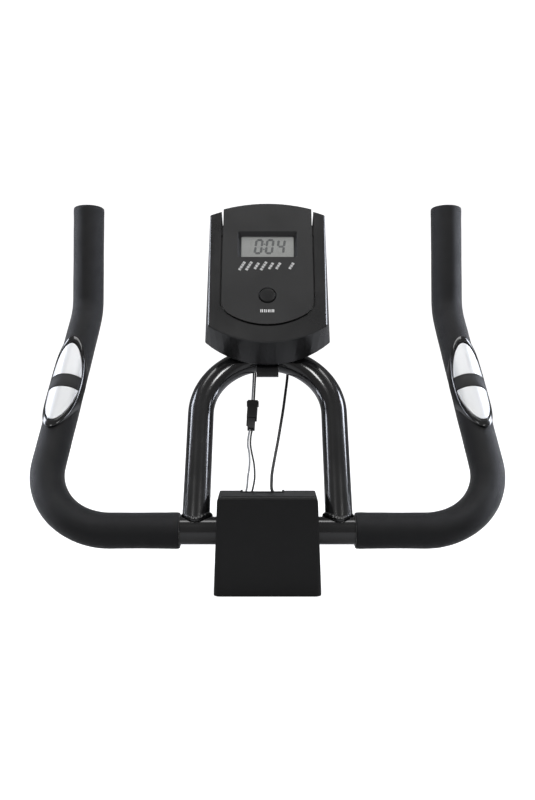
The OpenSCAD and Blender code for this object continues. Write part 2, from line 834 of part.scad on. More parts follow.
module clamp_cap() {
    flange = 8;
    color("#232325") bar_frame() difference() {
        union() {
            x_rod(tube_r + 5, -clamp_half, 2 * clamp_half);
            translate([-clamp_half, -clamp_y, 0.8]) cube([2 * clamp_half, 2 * clamp_y, flange]);
        }
        translate([-50, -50, -50]) cube([100, 100, 50.8]);
        x_rod(tube_r + gap, -40, 80);
        for (x = [-1, 1]) for (y = [-1, 1]) translate([x * bolt_at.x, y * bolt_at.y, 0]) {
            cylinder(r = 3.3, h = 20);
            translate([0, 0, flange + 0.8]) cylinder(r = 5.3, h = 20);
        }
    }
}

module clamp_bolts() {
    color("#8d8e92") for (x = [-1, 1]) for (y = [-1, 1])
        translate([x * bolt_at.x, y * bolt_at.y, bar_h + 8.8]) {
            difference() {
                cylinder(r = 4.9, h = 6);
                translate([0, 0, 2.5]) cylinder(r = 2.9, h = 5, $fn = 6);
            }
            translate([0, 0, -20]) cylinder(r = 3, h = 20.1);
        }
}

// Along +Y from the socket's bore, at each screw's height.
module post_screw_frame() {
    for (z = screw_heights) translate([0, 0, z]) rotate([-90, 0, 0]) children();
}

module post_screws() {
    color("#8d8e92") post_screw_frame() {
        translate([0, 0, socket_r + 0.3]) cylinder(r = 4, h = cover_d / 2 - socket_r);
        translate([0, 0, cover_d / 2 + 0.1]) difference() {
            cylinder(r = 6.5, h = 4.4);
            translate([0, 0, 1.8]) cylinder(r = 2.9, h = 4, $fn = 6);
        }
    }
}

module post_nuts() {
    color("#6f7074") post_screw_frame() translate([0, 0, socket_ro - 0.4]) difference() {
        cylinder(r = 6.5 / cos(30), h = 3.4, $fn = 6);
        translate([0, 0, -2]) cylinder(r = 4.1, h = 10);
        rotate([90, 0, 0]) translate([0, -socket_ro + 0.4, -20]) cylinder(r = socket_ro + 0.02, h = 40);
    }
}

// ---- Cover ----

// Points round a corner, from one angle to another.
function corner(middle, r, from, to) =
    [for (i = [0:6]) let (a = mix(from, to, i / 6)) middle + r * [cos(a), sin(a)]];

// A rectangle from -a to a and -b to b whose corners are rounded by r.
function round_rect(a, b, r) =
    [for (q = [[1, 1, 0], [-1, 1, 90], [-1, -1, 180], [1, -1, 270]]) each
        corner([q[0] * (a - r), q[1] * (b - r)], r, q[2], q[2] + 90)];

// The cover's solid, moved in by inset.
module cover_solid(inset) {
    low = -1;
    top = cover_h - inset;
    half = cover_w / 2 - inset;
    half_d = cover_d / 2 - inset;
    side_r = 5;
    edge_r = 4;
    shoulder = half - (cover_w - cover_top_w) / 2 / cover_h * top - side_r;
    intersection() {
        translate([0, cover_d, 0]) rotate([90, 0, 0]) linear_extrude(2 * cover_d) polygon(concat(
            [[-half, 0], [half, 0]],
            corner([shoulder, top - side_r], side_r, 0, 90),
            corner([-shoulder, top - side_r], side_r, 90, 180)));
        translate([0, 0, low]) linear_extrude(120) polygon(round_rect(half, half_d, 6 - inset));
        rotate([90, 0, 90]) translate([0, 0, -60]) linear_extrude(120) polygon(concat(
            [[-half_d, low], [half_d, low], [half_d, top - cover_d * tan(cover_slope)]],
            corner([edge_r - half_d, top - edge_r], edge_r, 90, 180)));
    }
}

module cover_shell() {
    difference() {
        cover_solid(0);
        translate([0, 0, -0.1]) cover_solid(cover_wall);
        bar_frame() x_rod(tube_r + 0.6, -60, 120);
    }
}

// Screw posts along Y, from y0 to y1.
module cover_posts(r, y0, y1) {
    for (p = cover_screw_at)
        translate([p.x, y0, p.y]) rotate([-90, 0, 0]) cylinder(r = r, h = y1 - y0);
}

module front_cover() {
    color("#1f1f21") difference() {
        union() {
            intersection() {
                cover_shell();
                translate([-60, -60, -1]) cube([120, 60, 120]);
            }
            cover_posts(3.6, -cover_d / 2 + 1, -0.1);
        }
        cover_posts(1.35, -16, 1);
    }
}

// The cable port in the cover's top and back, moved in by inset.
module port_box(inset, size) {
    translate([port[0] + inset, port_y + inset, port_z + inset])
        cube([port[1] - port[0] - 2 * inset, size, size]);
}

module rear_cover() {
    color("#1f1f21") difference() {
        union() {
            intersection() {
                cover_shell();
                translate([-60, 0.05, -1]) cube([120, 60, 120]);
            }
            cover_posts(4.4, 0.1, cover_d / 2 - 1);
        }
        cover_posts(1.8, -1, cover_d / 2 + 1);
        cover_posts(3.3, cover_d / 2 - 3, cover_d / 2 + 1);
        port_box(0, 30);
        post_screw_frame() cylinder(r = 4.8, h = 40);
    }
}

module cover_screws() {
    color("#77787c") for (p = cover_screw_at)
        translate([p.x, cover_d / 2 - 0.9, p.y]) rotate([90, 0, 0]) {
        difference() {
            cylinder(r = 3, h = 2);
            for (a = [0, 90]) rotate([0, 0, a]) translate([-1.7, -0.4, -1]) cube([3.4, 0.8, 2]);
        }
        cylinder(r = 1.3, h = 36);
    }
}

// Rubber edge trim round the cable port.
module cable_bushing() {
    lip = 1.8;
    color("#0f0f10") intersection() {
        difference() {
            port_box(0.05, 30);
            port_box(lip, 40);
        }
        difference() {
            cover_solid(-0.8);
            cover_solid(cover_wall + 0.8);
        }
    }
}

post_socket();
clamp_saddle();
clamp_cap();
clamp_bolts();
post_screws();
post_nuts();
front_cover();
rear_cover();
cover_screws();
cable_bushing();
post_connector();
handlebar_tube();
console_hoop();
hoop_welds();
grip_left();
grip_right();
end_cap_left();
end_cap_right();
sensor_housing_left();
sensor_housing_right();
sensor_plate_upper_left();
sensor_plate_lower_left();
sensor_plate_upper_right();
sensor_plate_lower_right();
pulse_wire_left();
pulse_wire_right();
bar_grommet();
console_bracket();
bracket_welds();
bracket_screws();
console_front();
console_panel();
console_back();
console_screws();
lcd_lens();
lcd_glass();
lcd_contact_strips();
circuit_board();
board_screws();
button_dome();
buzzer();
mode_button();
battery_door();
batteries();
battery_springs();
battery_contacts();
lead_grommet();
sensor_lead_upper();
connector_socket();
connector_plug();
sensor_lead_lower();
pulse_jack();
pulse_plug();
pulse_lead();
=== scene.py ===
"""Looks for an exercise bike's handlebar and console head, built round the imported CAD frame.

Everything is in the row frame: X to the rider's right, Y away from the rider, Z up the post.
Driving sizes are in millimetres and become metres where a mesh is made. The camera, the lights
and the floor are in metres.
"""
import math

import bmesh
import bpy
from mathutils import Matrix, Vector, noise


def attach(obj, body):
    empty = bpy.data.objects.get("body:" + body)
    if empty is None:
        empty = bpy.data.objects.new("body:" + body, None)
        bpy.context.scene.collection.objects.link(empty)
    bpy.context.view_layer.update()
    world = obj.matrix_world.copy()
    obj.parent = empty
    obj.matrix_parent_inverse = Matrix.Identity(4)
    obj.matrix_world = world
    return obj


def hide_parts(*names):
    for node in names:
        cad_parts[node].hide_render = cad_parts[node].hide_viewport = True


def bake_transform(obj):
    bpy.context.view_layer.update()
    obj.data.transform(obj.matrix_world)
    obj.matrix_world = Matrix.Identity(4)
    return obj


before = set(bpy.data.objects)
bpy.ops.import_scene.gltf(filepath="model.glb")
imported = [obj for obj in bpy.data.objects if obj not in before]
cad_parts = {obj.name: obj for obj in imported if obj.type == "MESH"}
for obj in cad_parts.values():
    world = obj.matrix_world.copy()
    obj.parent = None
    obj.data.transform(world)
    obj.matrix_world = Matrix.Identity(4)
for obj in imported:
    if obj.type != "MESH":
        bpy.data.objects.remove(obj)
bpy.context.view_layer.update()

MM = 0.001

# ---- Driving sizes, as in the CAD model ----

BAR_Z = 53
TUBE_R = 12.7
GRIP_R = 16.5
GRIP_START = 79.5
EXACT = math.atan2(4, 3)  # each bend is this angle times a whole number, and whole half turns
ARM_LEAN = 2 * math.pi - 6 * EXACT
BEND = 2 * math.pi - 5 * EXACT
UPPER_BEND = 4 * EXACT - math.pi
UPPER_ROLL = 12 * EXACT - 3 * math.pi
BAR_STRAIGHT, BEND_R, ARM_STRAIGHT, UPPER_BEND_R, TIP_STRAIGHT = 143.5, 66, 181, 50, 99.5
SENSOR_AT = 88.5
SENSOR_TURN = math.radians(9)
SENSOR_R = 19.2
HOOP_R, HOOP_LEG, HOOP_LEAN = 65.7, 125.4, math.radians(37.7)
CONSOLE_LEAN = math.radians(28.5)
CONSOLE_MID, FACE_OUT = 260, 20
WIRE_D, PULSE_LEAD_D = 1.8, 2.8
BUTTON_Y = -26

# Routes of the free leads, the same points as the CAD model's.
UPPER_ROUTE = [
    (-18, 118, 232.5), (-18, 123, 229.8), (-17.5, 128.5, 225), (-16.5, 132.5, 218),
    (-15.5, 134, 210), (-14.5, 133, 202), (-13.8, 129.5, 194.5), (-13.5, 122, 186.5),
    (-14, 109, 174), (-14.6, 96.5, 162),
]
LOWER_LEFT_ROUTE = [
    (-17.4, 70.5, 137), (-18.6, 63, 131), (-19, 55, 124.2), (-17.4, 46, 116.5),
    (-17, 36, 107.5), (-18.4, 25.5, 97.5), (-18.8, 20.5, 91), (-20, 18.2, 85.5),
    (-22, 17.2, 81.2), (-26.2, 16.6, 79.6), (-29.6, 16.2, 79), (-30.5, 16, 75.5),
]
LOWER_RIGHT_ROUTE = [
    (-15, 70.5, 137), (-16.2, 63, 131), (-16.4, 55, 124.2), (-14.8, 46, 116.5),
    (-12.6, 36, 107.5), (-12, 25.5, 97.5), (-13.2, 20, 90), (-15, 17.8, 84),
    (-18.5, 16.8, 79.2), (-23, 16.3, 77.6), (-26.5, 16, 74.5),
]
PULSE_ROUTE = [
    (20, 127, 228), (20, 133, 224.6), (20.2, 137.5, 218.5), (20.5, 138.5, 210),
    (20.8, 136, 201), (20.9, 131, 192.5), (20.3, 122, 183.5), (18, 105, 169),
    (15.6, 88.5, 154.5), (12.8, 72.5, 140.5), (10, 57, 127), (6.9, 42, 113.5),
    (4.4, 30, 101.5), (3.8, 24, 94), (4, 20.3, 87), (7.6, 18.4, 81), (12, 17.4, 78.6),
    (17.5, 17, 77.6), (24, 16, 75.5), (28.8, 14.5, 71), (30, 11.8, 64.8),
]


# ---- Frames ----

def shift(x, y, z):
    return Matrix.Translation((x, y, z))


def turn(axis, angle):
    return Matrix.Rotation(angle, 4, axis)


def past_bend(angle, radius):
    return shift(radius, 0, 0) @ turn("Y", angle) @ shift(-radius, 0, 0)


BAR = shift(0, 0, BAR_Z)
ARM = BAR @ turn("Y", math.pi / 2) @ shift(0, 0, BAR_STRAIGHT) @ turn("Z", math.pi - ARM_LEAN) \
    @ past_bend(BEND, BEND_R)
SENSOR = ARM @ shift(0, 0, SENSOR_AT) @ turn("Z", math.pi / 2 + SENSOR_TURN)
HOOP = BAR @ turn("X", math.pi / 2 - HOOP_LEAN)
CONSOLE = BAR @ turn("X", math.pi / 2 - CONSOLE_LEAN) @ shift(0, CONSOLE_MID, FACE_OUT)
MIRROR = Matrix.Scale(-1, 4, (1, 0, 0))


# ---- Camera, light and floor ----

def add_object(name, data):
    obj = bpy.data.objects.new(name, data)
    bpy.context.scene.collection.objects.link(obj)
    return obj


def by_camera_ray(tree, unseen, seen, target):
    """Feeds an input one value where the camera sees it, and another for every other ray."""
    ray = tree.nodes.new("ShaderNodeLightPath")
    value = tree.nodes.new("ShaderNodeMapRange")
    value.inputs["To Min"].default_value = unseen
    value.inputs["To Max"].default_value = seen
    tree.links.new(ray.outputs["Is Camera Ray"], value.inputs["Value"])
    tree.links.new(value.outputs["Result"], target)


def add_camera():
    data = bpy.data.cameras.new("camera")
    data.lens = 40.5
    data.sensor_width = 36
    data.clip_start = 0.01
    camera = add_object("camera", data)
    camera.location = (0, -0.8065, 0.2429)
    camera.rotation_euler = (math.radians(85), 0, 0)
    bpy.context.scene.camera = camera


def softbox(name, at, target, size, power, colour=(1, 1, 1)):
    data = bpy.data.lights.new(name, "AREA")
    data.shape = "RECTANGLE"
    data.size, data.size_y = size
    data.energy = power
    data.color = colour
    light = add_object(name, data)
    light.location = at
    light.rotation_euler = (Vector(target) - Vector(at)).to_track_quat("-Z", "Y").to_euler()


def add_lights():
    middle = (0, 0.1, 0.2)
    softbox("top", (0, 0.1, 1.5), middle, (1.2, 0.35), 5)
    softbox("key_left", (-0.6, -0.75, 1.1), middle, (0.3, 0.3), 4.5)
    softbox("key_right", (0.6, -0.75, 1.1), middle, (0.3, 0.3), 4.5)
    softbox("rim_left", (-1.2, 0.45, 0.55), middle, (0.25, 1.2), 10, (0.85, 0.89, 1))
    softbox("rim_right", (1.2, 0.45, 0.55), middle, (0.25, 1.2), 14, (0.85, 0.89, 1))
    world = bpy.data.worlds.new("studio")
    world.use_nodes = True
    background = world.node_tree.nodes["Background"]
    background.inputs["Color"].default_value = (1, 1, 1, 1)
    by_camera_ray(world.node_tree, 0.22, 1.0, background.inputs["Strength"])
    bpy.context.scene.world = world
    bpy.context.scene.view_settings.view_transform = "Standard"


def add_floor():
    """A pale floor that curves up into a backdrop."""
    near, wall, radius, height, half = -3.0, 2.6, 0.8, 3.6, 5.0
    gap, steps = 0.0006, 12
    profile = [(near, 0.0), (wall - radius, 0.0)]
    profile += [(wall - radius + radius * math.sin(a), radius - radius * math.cos(a))
                for a in [i * math.pi / (2 * steps) for i in range(1, steps)]]
    profile += [(wall, radius), (wall, height)]
    bm = bmesh.new()
    rows = [[bm.verts.new((x, y, z - gap)) for x in (-half, half)] for y, z in profile]
    for a, b in zip(rows, rows[1:]):
        bm.faces.new((a[0], a[1], b[1], b[0]))
    mesh = bpy.data.meshes.new("floor")
    bm.to_mesh(mesh)
    bm.free()
    mesh.shade_smooth()
    floor = add_object("floor", mesh)
    paper = surface("floor_paper", (0.5, 0.5, 0.5), 0.9, grain=400, bump=0.02, spread=0.01)
    shader = paper.node_tree.nodes["Principled BSDF"]
    shader.inputs["Emission Color"].default_value = (1, 1, 1, 1)
    by_camera_ray(paper.node_tree, 0.0, 0.95, shader.inputs["Emission Strength"])
    floor.data.materials.append(paper)


# ---- Materials ----

def surface(name, colour, rough, grain=1500, bump=0.1, metallic=0.0, spread=0.12,
            rough_spread=0.06, mottle=35, coat=0.0, cells=False, specular=0.5, sheen=0.0,
            sheen_rough=0.6, alpha=1.0):
    """A procedural finish: fine grain in the bump, and slow variation in colour and roughness."""
    material = bpy.data.materials.new(name)
    material.use_nodes = True
    tree = material.node_tree
    shader = tree.nodes["Principled BSDF"]
    shader.inputs["Metallic"].default_value = metallic
    shader.inputs["Coat Weight"].default_value = coat
    shader.inputs["Coat Roughness"].default_value = 0.08
    shader.inputs["Specular IOR Level"].default_value = specular
    shader.inputs["Sheen Weight"].default_value = sheen
    shader.inputs["Sheen Roughness"].default_value = sheen_rough
    shader.inputs["Alpha"].default_value = alpha

    def node(kind, **values):
        made = tree.nodes.new(kind)
        for key, value in values.items():
            made.inputs[key].default_value = value
        return made

    place = tree.nodes.new("ShaderNodeTexCoord").outputs["Object"]
    slow = node("ShaderNodeTexNoise", Scale=mottle, Detail=4.0, Roughness=0.6)
    tree.links.new(place, slow.inputs["Vector"])
    tint = tree.nodes.new("ShaderNodeMix")
    tint.data_type = "RGBA"
    tint.inputs["A"].default_value = (*[c * (1 - spread) for c in colour], 1)
    tint.inputs["B"].default_value = (*[min(1.0, c * (1 + spread)) for c in colour], 1)
    tree.links.new(slow.outputs["Fac"], tint.inputs["Factor"])
    tree.links.new(tint.outputs["Result"], shader.inputs["Base Color"])

    wear = node("ShaderNodeMapRange", **{"From Min": 0.3, "From Max": 0.7,
                                         "To Min": max(0.02, rough - rough_spread),
                                         "To Max": min(1.0, rough + rough_spread)})
    tree.links.new(slow.outputs["Fac"], wear.inputs["Value"])
    tree.links.new(wear.outputs["Result"], shader.inputs["Roughness"])

    if cells:
        fine = node("ShaderNodeTexVoronoi", Scale=grain)
        height = fine.outputs["Distance"]
    else:
        fine = node("ShaderNodeTexNoise", Scale=grain, Detail=3.0, Roughness=0.55)
        height = fine.outputs["Fac"]
    tree.links.new(place, fine.inputs["Vector"])
    relief = node("ShaderNodeBump", Strength=bump, Distance=0.0004)
    tree.links.new(height, relief.inputs["Height"])
    tree.links.new(relief.outputs["Normal"], shader.inputs["Normal"])
    return material


LOOKS = {
    "foam": surface("foam", (0.0042, 0.0043, 0.0054), 0.56, grain=2600, bump=0.5, cells=True,
                    spread=0.22, mottle=60, sheen=0.35, sheen_rough=0.3, specular=0.34),
    "paint": surface("black_gloss_paint", (0.009, 0.009, 0.0095), 0.2, grain=420, bump=0.01,
                     coat=0.6, mottle=25, rough_spread=0.04),
    "weld": surface("painted_weld", (0.011, 0.011, 0.0115), 0.26, grain=900, bump=0.16, coat=0.5,
                    mottle=90),
    "cover": surface("cover_plastic", (0.0085, 0.0085, 0.0088), 0.36, grain=3200, bump=0.16,
                     spread=0.1, mottle=18, specular=0.28),
    "console": surface("console_plastic", (0.0155, 0.0155, 0.016), 0.42, grain=3600, bump=0.14,
                       spread=0.07, mottle=22, specular=0.45),
    "console_shell": surface("console_shell_plastic", (0.0125, 0.0125, 0.013), 0.3, grain=3600,
                             bump=0.03, spread=0.07, mottle=22, coat=0.25),
    "bezel": surface("bezel_plastic", (0.007, 0.007, 0.0075), 0.14, grain=1200, bump=0.02, coat=0.6,
                     mottle=40),
    "band": surface("band_rubber", (0.012, 0.012, 0.0125), 0.62, grain=2600, bump=0.18, mottle=60),
    "nylon": surface("black_nylon", (0.012, 0.012, 0.0125), 0.44, grain=2800, bump=0.14, mottle=60),
    "rubber": surface("black_rubber", (0.010, 0.010, 0.010), 0.66, grain=2600, bump=0.2, mottle=60),
    "button": surface("button_rubber", (0.0035, 0.0035, 0.0038), 0.45, grain=3000, bump=0.1,
                      mottle=80, specular=0.3),
    "zinc": surface("zinc_plate", (0.46, 0.47, 0.49), 0.34, grain=1400, bump=0.12, metallic=1.0,
                    mottle=160, spread=0.14),
    "plate": surface("sensor_steel", (0.86, 0.87, 0.88), 0.42, grain=900, bump=0.015, metallic=0.3,
                     mottle=45, spread=0.03, rough_spread=0.03),
    "nickel": surface("nickel_plate", (0.7, 0.69, 0.66), 0.25, grain=1300, bump=0.06, metallic=1.0),
    "pale": surface("pale_silicone", (0.62, 0.6, 0.56), 0.55, grain=2400, bump=0.1),
    "white": surface("white_nylon", (0.78, 0.78, 0.75), 0.45, grain=2400, bump=0.1, spread=0.04),
    "print": surface("white_print", (0.9, 0.9, 0.9), 0.55, grain=4200, bump=0.05, spread=0.05,
                     mottle=300),
    "lcd": surface("lcd_grey", (0.295, 0.3, 0.285), 0.38, grain=5200, bump=0.03, spread=0.05,
                   mottle=30),
    "digit": surface("lcd_segment", (0.016, 0.018, 0.018), 0.4, grain=5200, bump=0.03, mottle=200),
    "ghost": surface("lcd_segment_off", (0.265, 0.27, 0.256), 0.4, grain=5200, bump=0.03,
                     spread=0.03),
    "window": surface("clear_window", (0.9, 0.92, 0.93), 0.05, grain=500, bump=0.01, spread=0.02,
                      rough_spread=0.02, alpha=0.07),
    "board": surface("board_green", (0.03, 0.14, 0.055), 0.35, grain=1800, bump=0.08, coat=0.3),
    "jacket": surface("battery_jacket", (0.42, 0.31, 0.05), 0.28, grain=900, bump=0.03, coat=0.3),
    "pvc": surface("black_pvc", (0.014, 0.014, 0.0145), 0.34, grain=1500, bump=0.1, mottle=90),
    "grey_pvc": surface("grey_pvc", (0.26, 0.27, 0.29), 0.3, grain=1500, bump=0.1, mottle=90),
}


# ---- Mesh helpers ----

def side_name(side):
    return "left" if side < 0 else "right"


def around(count):
    return [2 * math.pi * k / count for k in range(count)]


def piece_from(name, bm, look, body, smooth_angle=None):
    """Makes an object from a bmesh in millimetres. It rides on a body, if one is given."""
    bmesh.ops.recalc_face_normals(bm, faces=bm.faces)
    mesh = bpy.data.meshes.new(name)
    bm.to_mesh(mesh)
    bm.free()
    mesh.transform(Matrix.Scale(MM, 4))
    mesh.shade_smooth()
    if smooth_angle is not None:
        mesh.set_sharp_from_angle(angle=math.radians(smooth_angle))
    obj = add_object(name, mesh)
    mesh.materials.append(LOOKS[look])
    if body:
        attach(obj, body)
    return obj


def bridge(bm, a, b):
    for i in range(len(a)):
        j = (i + 1) % len(a)
        bm.faces.new((a[i], a[j], b[j], b[i]))


def loft(bm, rings, closed_along=False, caps=True):
    """Faces between rings of points, each ring a closed loop of the same number of points."""
    loops = [[bm.verts.new(p) for p in ring] for ring in rings]
    for a, b in zip(loops, loops[1:]):
        bridge(bm, a, b)
    if closed_along:
        bridge(bm, loops[-1], loops[0])
    elif caps:
        bm.faces.new(loops[0])
        bm.faces.new(loops[-1])
    return loops


def bent_frames(steps, spacing):
    """(frame, roll so far, distance) along a rod that starts along Z and bends at each step.

    A step is (length, roll, bend, radius).
    """
    here, rolled, gone = Matrix.Identity(4), 0.0, 0.0
    found = [(here.copy(), rolled, gone)]
    for length, roll, angle, radius in steps:
        count = max(1, round(length / spacing))
        for i in range(1, count + 1):
            along = length * i / count
            found.append((here @ shift(0, 0, along), rolled, gone + along))
        here = here @ shift(0, 0, length) @ turn("Z", roll)
        rolled += roll
        gone += length
        if angle:
            count = max(2, round(angle * radius / spacing))
            for i in range(1, count + 1):
                part = angle * i / count
                found.append((here @ past_bend(part, radius), rolled, gone + part * radius))
            here = here @ past_bend(angle, radius)
            gone += angle * radius
    return found


def bar_frames(start, spacing):
    """Frames along the handlebar's right half, from start millimetres off the middle."""
    steps = [(BAR_STRAIGHT - start, math.pi - ARM_LEAN, BEND, BEND_R),
             (ARM_STRAIGHT, UPPER_ROLL, UPPER_BEND, UPPER_BEND_R),
             (TIP_STRAIGHT, 0, 0, 0)]
    first = BAR @ turn("Y", math.pi / 2) @ shift(0, 0, start)
    return [(first @ m, rolled, gone) for m, rolled, gone in bent_frames(steps, spacing)]


def ring_at(m, rolled, radius, count, along=0.0, wobble=None):
    points = []
    for k, a in enumerate(around(count)):
        a -= rolled
        r = radius + (wobble(m, k, count) if wobble else 0.0)
        points.append(m @ Vector((r * math.cos(a), r * math.sin(a), along)))
    return points


def smooth_path(points, per):
    """A Catmull-Rom curve through the points, per steps to a span, as the CAD leads follow."""
    p = [Vector(q) for q in points]
    found = []
    for i in range(len(p) - 1):
        a, b, c, d = p[max(i - 1, 0)], p[i], p[i + 1], p[min(i + 2, len(p) - 1)]
        for j in range(per):
            t = j / per
            cubic = 3 * b - a - 3 * c + d
            found.append(b + 0.5 * t * (c - a + t * (2 * a - 5 * b + 4 * c - d + t * cubic)))
    return found + [p[-1]]


def sweep(bm, path, radius, count):
    """A tube along a path, with frames carried along it without twist."""
    side = Vector((1, 0, 0))
    rings = []
    for i, point in enumerate(path):
        ahead = (path[min(i + 1, len(path) - 1)] - path[max(i - 1, 0)]).normalized()
        side = (side - side.dot(ahead) * ahead).normalized()
        up = ahead.cross(side)
        rings.append([point + radius * (math.cos(a) * side + math.sin(a) * up)
                      for a in around(count)])
    loft(bm, rings)


def finish_cad(name, look, bevel):
    """Gives a CAD node its material and, with modifiers, rounded edges and smooth shading."""
    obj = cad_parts[name]
    obj.data.materials.clear()
    obj.data.materials.append(LOOKS[look])
    if bevel:
        weld = obj.modifiers.new("weld", "WELD")
        weld.merge_threshold = 2e-6
        flat = obj.modifiers.new("flat", "DECIMATE")
        flat.decimate_type = "DISSOLVE"
        flat.angle_limit = math.radians(0.6)
        edge = obj.modifiers.new("edges", "BEVEL")
        edge.width = bevel * MM
        edge.segments = 3
        edge.limit_method = "ANGLE"
        edge.angle_limit = math.radians(20)
        edge.harden_normals = False
        edge.use_clamp_overlap = True
        normals = obj.modifiers.new("normals", "WEIGHTED_NORMAL")
        normals.keep_sharp = False
        for polygon in obj.data.polygons:
            polygon.use_smooth = True


# ---- Handlebar ----

def foam_wobble(m, k, count):
    place = m.translation * 0.035 + Vector((0, 0, k * 0.6 / count))
    return 0.22 * noise.noise(place) + 0.07 * noise.noise(place * 5)


def add_grip(side):
    """A foam sleeve with soft, slightly swollen ends, moulded round the bends."""
    count, lip, lip_steps = 72, 1.6, 6
    skin, swell_height, swell_at = GRIP_R - 0.15, 0.25, 5
    frames = bar_frames(GRIP_START, 2.6)
    inner = TUBE_R + 0.05
    total = frames[-1][2]

    def outline(gone):
        near = min(gone, total - gone)
        return skin + swell_height * math.exp(-((near - swell_at) / swell_at) ** 2)

    rings = []
    first, last = frames[0], frames[-1]
    for i in range(lip_steps + 1):  # rounded lip at the start
        a = math.pi / 2 * i / lip_steps
        rings.append(ring_at(first[0], first[1], outline(0) - lip + lip * math.sin(a), count,
                             lip - lip * math.cos(a), foam_wobble if i else None))
    for m, rolled, gone in frames[1:-1]:
        rings.append(ring_at(m, rolled, outline(gone), count, 0, foam_wobble))
    for i in range(lip_steps + 1):  # and at the tip
        a = math.pi / 2 * (1 - i / lip_steps)
        rings.append(ring_at(last[0], last[1], outline(total) - lip + lip * math.sin(a), count,
                             -lip + lip * math.cos(a), foam_wobble if i < lip_steps else None))
    for m, rolled, _ in reversed(frames):
        rings.append(ring_at(m, rolled, inner, count))
    bm = bmesh.new()
    loft(bm, rings, closed_along=True)
    if side < 0:
        bm.transform(MIRROR)
    name = side_name(side)
    grip = piece_from("foam_grip_" + name, bm, "foam", "handlebar", 60)
    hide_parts("grip_" + name)


def add_hoop():
    """The hoop's tube: two legs and a half-circle crown."""
    count, legs, crown, foot = 64, 40, 72, 1.5
    rings = []
    for i in range(legs):
        rings.append((Vector((HOOP_R, foot + (HOOP_LEG - foot) * i / legs, 0)), 0.0))
    for i in range(crown + 1):
        a = math.pi * i / crown
        rings.append((Vector((HOOP_R * math.cos(a), HOOP_LEG + HOOP_R * math.sin(a), 0)), a))
    for i in range(1, legs + 1):
        rings.append((Vector((-HOOP_R, HOOP_LEG - (HOOP_LEG - foot) * i / legs, 0)), math.pi))
    bm = bmesh.new()
    loops = []
    for at, a in rings:
        out = Vector((math.cos(a), math.sin(a), 0))
        loops.append([HOOP @ (at + TUBE_R * (math.cos(t) * out + Vector((0, 0, math.sin(t)))))
                      for t in around(count)])
    loft(bm, loops)
    hoop = piece_from("hoop_tube", bm, "paint", "handlebar", 50)
    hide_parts("console_hoop")


def add_hoop_welds():
    """Rippled beads where the hoop's legs stand on the bar."""
    count, bead, waves = 14, 2.6, 26
    up = Vector((0, 1, 0))
    bm = bmesh.new()
    for side in (-1, 1):
        rings = []
        for t in around(300):
            saddle = math.sqrt(math.cos(t) ** 2 + 0.13)
            lift = TUBE_R * saddle + 0.5
            out = Vector((math.cos(t), 0, math.sin(t)))
            middle = Vector((side * HOOP_R, lift, 0)) + out * (TUBE_R + 0.35)
            ripple = abs(math.sin(waves * t / 2)) ** 0.6
            slim = 1 - 0.72 * max(0.0, side * math.cos(t)) ** 2  # beside the foam
            r = bead * slim * (0.86 + 0.14 * ripple) + 0.08 * noise.noise(Vector((t * 3, side, 0)))
            rings.append([HOOP @ (middle + r * (math.cos(a) * out + 1.15 * math.sin(a) * up))
                          for a in around(count)])
        loft(bm, rings, closed_along=True)
    welds = piece_from("rippled_hoop_welds", bm, "weld", "handlebar")
    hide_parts("hoop_welds")


# ---- Pulse sensors ----

def over_arm(y, z, radius, least=0.0):
    """The point over (y, z) on a cylinder about the arm, in the sensor's frame."""
    return Vector((max(least, math.sqrt(max(0.0, radius * radius - y * y))), y, z))


def oval(a, b, radius):
    return [over_arm(b * math.sin(t), a * math.cos(t), radius, 0.5) for t in around(120)]


def close_oval(bm, loop, a, b, radius, steps):
    """Fills an oval with shrinking rings, and one face inside the last."""
    rings = [[bm.verts.new(p) for p in oval(a * s, b * s, radius)]
             for s in [1 - i / steps for i in range(1, steps)]]
    previous = loop
    for ring in rings:
        bridge(bm, previous, ring)
        previous = ring
    bm.faces.new(previous)


def sensor_matrix(side):
    return MIRROR @ SENSOR if side < 0 else SENSOR


def add_sensor_housing(side):
    """A pointed oval bezel: a rounded rim, a step down and a sunk floor, bent over the arm."""
    bm = bmesh.new()
    levels = [
        # half length, half width, distance from the arm's axis
        (56.9, 18.3, 15.6), (57.2, 18.6, 17.0), (57.2, 18.6, 18.5), (57.0, 18.45, 18.85),
        (56.6, 18.1, 19.1), (56.0, 17.7, 19.2), (51.6, 17.3, 19.2), (50.7, 16.8, 19.1),
        (50.2, 16.6, 18.85), (50.0, 16.45, 18.5), (49.9, 16.4, 17.15),
    ]
    loops = loft(bm, [oval(*level) for level in levels], caps=False)
    close_oval(bm, loops[-1], *levels[-1], 10)
    close_oval(bm, loops[0], *levels[0], 6)
    bm.transform(sensor_matrix(side))
    name = side_name(side)
    housing = piece_from("sensor_bezel_" + name, bm, "bezel", "handlebar", 50)
    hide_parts("sensor_housing_" + name)


def plaque(bm, outline, layers, steps=24):
    """A crowned plate over the arm: the outline is inset and raised layer by layer, then filled."""
    count = len(outline)
    centre = Vector((sum(p[0] for p in outline) / count, sum(p[1] for p in outline) / count))

    def inset(amount):
        moved = []
        for i in range(count):
            before, here, after = (Vector(outline[(i + k) % count]) for k in (-1, 0, 1))
            along = (after - before).normalized()
            normal = Vector((-along.y, along.x))
            if normal.dot(centre - here) < 0:
                normal = -normal
            moved.append(here + normal * amount)
        return moved

    rings = [[over_arm(p.x, p.y, radius) for p in inset(amount)] for amount, radius in layers]
    top_amount, top_radius = layers[-1]
    edge = inset(top_amount)
    for s in [1 - i / steps for i in range(1, steps)]:
        rings.append([over_arm(*(centre + (p - centre) * s), top_radius) for p in edge])
    loops = loft(bm, rings, caps=False)
    bm.faces.new(loops[-1])
    bm.faces.new(loops[0])


